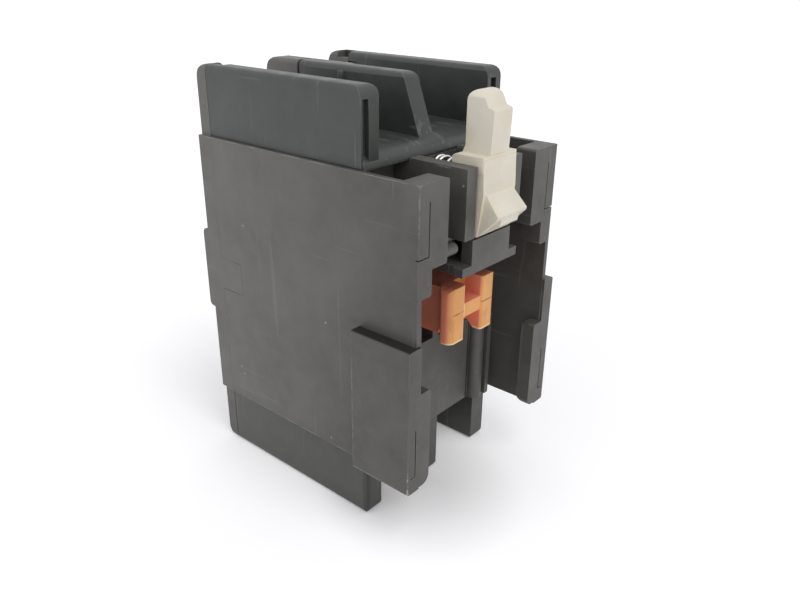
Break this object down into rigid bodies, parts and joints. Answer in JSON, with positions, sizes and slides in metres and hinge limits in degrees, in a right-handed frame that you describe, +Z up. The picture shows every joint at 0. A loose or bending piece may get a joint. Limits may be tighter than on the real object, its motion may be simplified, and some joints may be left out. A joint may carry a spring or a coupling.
{
  "type": "auxiliary contact block",
  "caption": "Clip-on auxiliary contact block with a sliding contact carrier, sprung release latch, clip legs and screw terminals between barriers.",
  "frame": {"origin": "middle of the bounding box's bottom, at the height of the lower barriers' lower edges", "axes": "+Z up, +Y to the contactor, -Y to the operator, +X to the side with the pin on its leg"},
  "size_m": [0.0264, 0.0356, 0.048],
  "materials": {
    "black_plastic": "satin moulded black",
    "orange_plastic": "satin moulded orange",
    "cream_plastic": "satin moulded cream",
    "spring_steel": "bright wire",
    "brass": "plain stamped strip",
    "silver_contact": "satin silver",
    "zinc_steel": "zinc plated"
  },
  "bodies": {
    "block": {"front_cover": "black_plastic", "terminal_housing": "black_plastic", "mating_frame": "black_plastic", "latch_spring": "spring_steel", "return_spring_upper": "spring_steel", "return_spring_lower": "spring_steel", "fixed_contact_upper_right": "brass", "fixed_contact_upper_left": "brass", "fixed_contact_lower_right": "brass", "fixed_contact_lower_left": "brass", "fixed_tip_upper_right": "silver_contact", "fixed_tip_upper_left": "silver_contact", "fixed_tip_lower_right": "silver_contact", "fixed_tip_lower_left": "silver_contact"},
    "carrier": {"contact_carrier": "orange_plastic", "contact_spring_right": "spring_steel", "contact_spring_left": "spring_steel"},
    "latch": {"release_latch": "cream_plastic"},
    "bridge_right": {"contact_bridge_right": "brass", "bridge_tip_upper_right": "silver_contact", "bridge_tip_lower_right": "silver_contact"},
    "bridge_left": {"contact_bridge_left": "brass", "bridge_tip_upper_left": "silver_contact", "bridge_tip_lower_left": "silver_contact"},
    "clamp_upper_right": {"clamp_washer_upper_right": "zinc_steel"},
    "screw_upper_right": {"terminal_screw_upper_right": "zinc_steel"},
    "clamp_upper_left": {"clamp_washer_upper_left": "zinc_steel"},
    "screw_upper_left": {"terminal_screw_upper_left": "zinc_steel"},
    "clamp_lower_right": {"clamp_washer_lower_right": "zinc_steel"},
    "screw_lower_right": {"terminal_screw_lower_right": "zinc_steel"},
    "clamp_lower_left": {"clamp_washer_lower_left": "zinc_steel"},
    "screw_lower_left": {"terminal_screw_lower_left": "zinc_steel"}
  },
  "joints": [
    {"name": "carrier_slide", "type": "slide", "parent": "block", "child": "carrier", "axis": [0, 1, 0], "range_m": [0, 0.004], "stiffness_N_per_m": 250, "springref_m": -0.006, "deforming": ["return_spring_upper", "return_spring_lower"]},
    {"name": "latch_pivot", "type": "hinge", "parent": "block", "child": "latch", "pos_m": [0, 0.01011, 0.0316], "axis": [1, 0, 0], "range_deg": [0, 12], "stiffness_Nm_per_rad": 0.02, "springref_deg": -17.19, "deforming": ["latch_spring"]},
    {"name": "bridge_slide_right", "type": "slide", "parent": "carrier", "child": "bridge_right", "axis": [0, 1, 0], "range_m": [-0.0012, 0], "deforming": ["contact_spring_right"]},
    {"name": "bridge_slide_left", "type": "slide", "parent": "carrier", "child": "bridge_left", "axis": [0, 1, 0], "range_m": [-0.0012, 0], "deforming": ["contact_spring_left"]},
    {"name": "clamp_slide_upper_right", "type": "slide", "parent": "block", "child": "clamp_upper_right", "axis": [0, -1, 0], "range_m": [0, 0.0015]},
    {"name": "screw_turn_upper_right", "type": "hinge", "parent": "clamp_upper_right", "child": "screw_upper_right", "pos_m": [0.00513, -0.00899, 0.0385], "axis": [0, -1, 0], "range_deg": [0, 900]},
    {"name": "clamp_slide_upper_left", "type": "slide", "parent": "block", "child": "clamp_upper_left", "axis": [0, -1, 0], "range_m": [0, 0.0015]},
    {"name": "screw_turn_upper_left", "type": "hinge", "parent": "clamp_upper_left", "child": "screw_upper_left", "pos_m": [-0.00513, -0.00899, 0.0385], "axis": [0, -1, 0], "range_deg": [0, 900]},
    {"name": "clamp_slide_lower_right", "type": "slide", "parent": "block", "child": "clamp_lower_right", "axis": [0, -1, 0], "range_m": [0, 0.0015]},
    {"name": "screw_turn_lower_right", "type": "hinge", "parent": "clamp_lower_right", "child": "screw_lower_right", "pos_m": [0.00513, -0.00899, 0.0095], "axis": [0, -1, 0], "range_deg": [0, 900]},
    {"name": "clamp_slide_lower_left", "type": "slide", "parent": "block", "child": "clamp_lower_left", "axis": [0, -1, 0], "range_m": [0, 0.0015]},
    {"name": "screw_turn_lower_left", "type": "hinge", "parent": "clamp_lower_left", "child": "screw_lower_left", "pos_m": [-0.00513, -0.00899, 0.0095], "axis": [0, -1, 0], "range_deg": [0, 900]}
  ],
  "couplings": [
    {"joint": "bridge_slide_right", "follows": "carrier_slide", "ratio": -0.3},
    {"joint": "bridge_slide_left", "follows": "carrier_slide", "ratio": -0.3},
    {"joint": "screw_turn_upper_right", "follows": "clamp_slide_upper_right", "rad_per_m": 10472},
    {"joint": "screw_turn_upper_left", "follows": "clamp_slide_upper_left", "rad_per_m": 10472},
    {"joint": "screw_turn_lower_right", "follows": "clamp_slide_lower_right", "rad_per_m": 10472},
    {"joint": "screw_turn_lower_left", "follows": "clamp_slide_lower_left", "rad_per_m": 10472}
  ]
}
